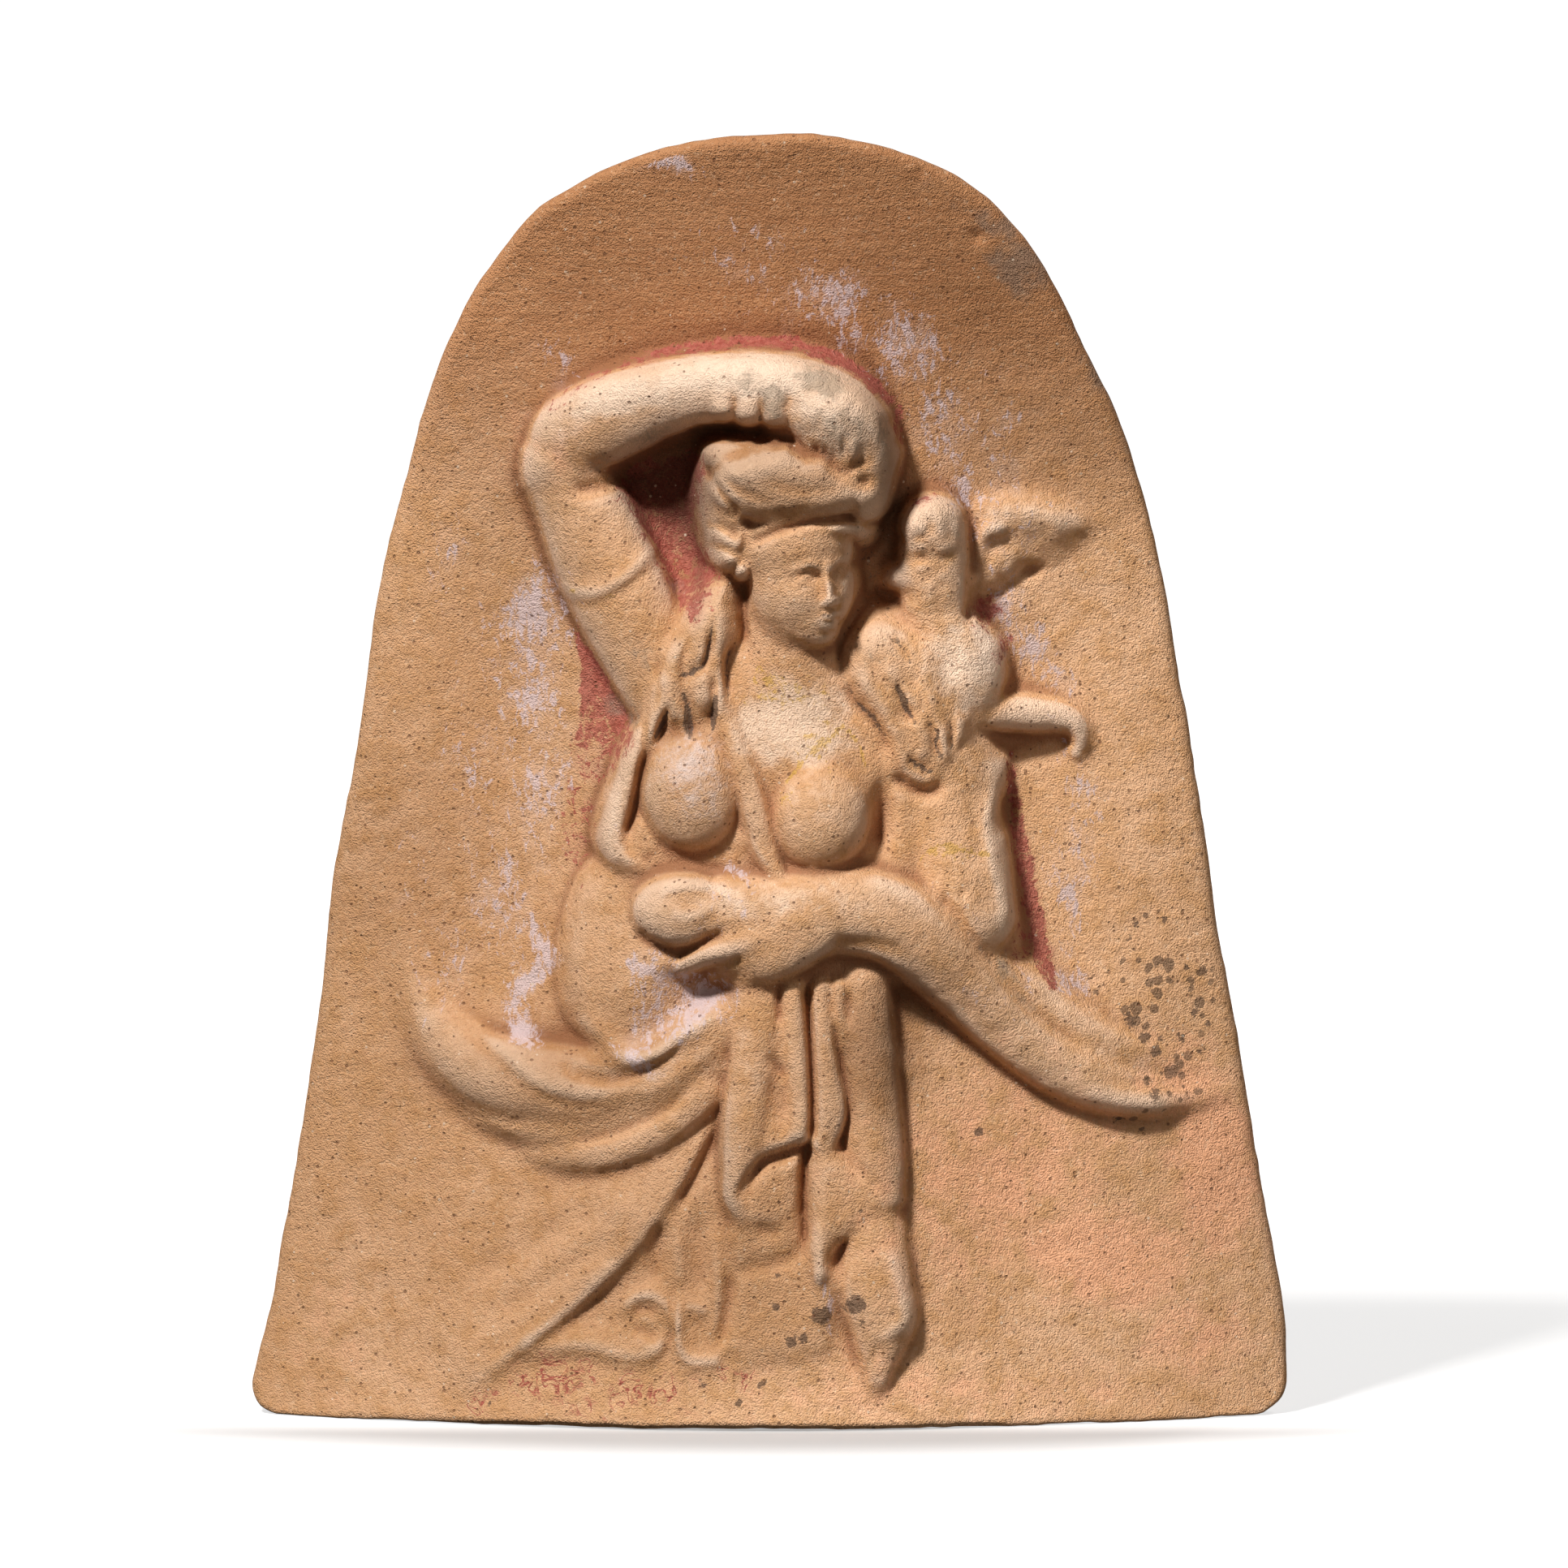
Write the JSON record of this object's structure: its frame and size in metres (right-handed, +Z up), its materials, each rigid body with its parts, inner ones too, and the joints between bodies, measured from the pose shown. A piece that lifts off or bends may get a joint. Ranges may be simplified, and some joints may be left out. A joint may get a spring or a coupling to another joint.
{
  "type": "terracotta protome",
  "caption": "Mould-made arched clay relief, open behind, of a half-draped goddess with a raised arm and a winged child on her shoulder; stands on its own bowed foot.",
  "frame": {"origin": "on the ground under the middle of the tablet's overall box", "axes": "+Z up along the tablet's height, -Y out of the carved front, +X to the viewer's right"},
  "size_m": [0.2778, 0.071, 0.3451],
  "materials": {
    "fired_clay": "matt, unglazed buff-orange clay with remains of white slip and red, yellow and dark paint"
  },
  "bodies": {
    "root": {"terracotta_protome": "fired_clay"}
  },
  "joints": []
}
